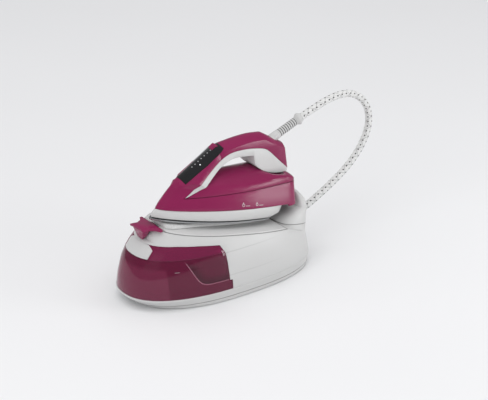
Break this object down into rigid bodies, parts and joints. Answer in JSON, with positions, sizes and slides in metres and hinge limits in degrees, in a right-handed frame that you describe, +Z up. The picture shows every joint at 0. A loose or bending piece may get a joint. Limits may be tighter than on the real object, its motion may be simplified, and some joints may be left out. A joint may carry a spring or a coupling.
{
  "type": "steam generator iron",
  "caption": "Steam iron resting nose-up on a wedge-shaped steam base with a removable translucent water tank, a nose latch and a cloth-covered steam hose.",
  "frame": {"origin": "centre of the base's footprint, on the surface it stands on (the free hose and what is on it left out)", "axes": "+Z up, -Y towards the iron's nose and the water tank, +Y towards the tower and the hose, X across"},
  "size_m": [0.194, 0.5393, 0.2869],
  "materials": {
    "base_white": "satin white moulded plastic",
    "tank": "translucent burgundy polycarbonate",
    "rubber": "matt rubber",
    "grey_plastic": "matt grey plastic",
    "dark_plastic": "matt dark plastic",
    "magenta": "glossy magenta moulded plastic",
    "panel_black": "gloss black",
    "soleplate": "satin coated soleplate",
    "aluminium": "cast aluminium",
    "steel": "stainless",
    "brass": "satin",
    "board": "printed circuit board",
    "hose_cloth": "white braided textile with dark flecks"
  },
  "bodies": {
    "base": {"base_tray": "base_white", "foot_1": "rubber", "foot_2": "rubber", "foot_3": "rubber", "foot_4": "rubber", "base_housing": "base_white", "latch_pin": "steel", "boiler": "aluminium", "boiler_band": "steel", "steam_valve": "brass", "pump": "dark_plastic", "base_board": "board", "hose_gland": "grey_plastic", "mains_gland": "dark_plastic", "iron_rest": "base_white", "rest_pad_1": "rubber", "rest_pad_2": "rubber", "rest_pad_3": "rubber", "rest_pad_4": "rubber", "hose_loop": "hose_cloth"},
    "iron": {"soleplate": "soleplate", "heat_shield": "dark_plastic", "iron_skirt": "base_white", "iron_lower_cover": "magenta", "iron_upper_cover": "magenta", "handle_lining": "base_white", "handle_shell": "magenta", "control_panel": "panel_black", "iron_board": "board", "steam_chamber": "aluminium", "heating_element": "steel", "thermostat": "brass", "hose_cuff": "base_white", "hose_sleeve": "grey_plastic", "hose_collar": "base_white"},
    "button": {"steam_button": "magenta"},
    "latch": {"lock_latch": "magenta"},
    "tank": {"water_tank": "tank", "tank_valve": "grey_plastic"},
    "flap": {"filler_flap": "base_white", "filler_seal": "rubber"}
  },
  "joints": [
    {"name": "iron_lift", "type": "slide", "parent": "base", "child": "iron", "axis": [0, 0, 1], "range_m": [0, 0.08], "deforming": ["hose_loop"]},
    {"name": "steam_button_press", "type": "slide", "parent": "iron", "child": "button", "axis": [0, 0.5067, -0.8621], "range_m": [0, 0.002], "stiffness_N_per_m": 400},
    {"name": "latch_hinge", "type": "hinge", "parent": "base", "child": "latch", "pos_m": [0, -0.124, 0.12497], "axis": [-1, 0, 0], "range_deg": [0, 45]},
    {"name": "tank_slide", "type": "slide", "parent": "base", "child": "tank", "axis": [0, -1, 0], "range_m": [0, 0.08]},
    {"name": "flap_hinge", "type": "hinge", "parent": "tank", "child": "flap", "pos_m": [0, -0.1655, 0.088], "axis": [1, 0, 0], "range_deg": [0, 70]}
  ]
}
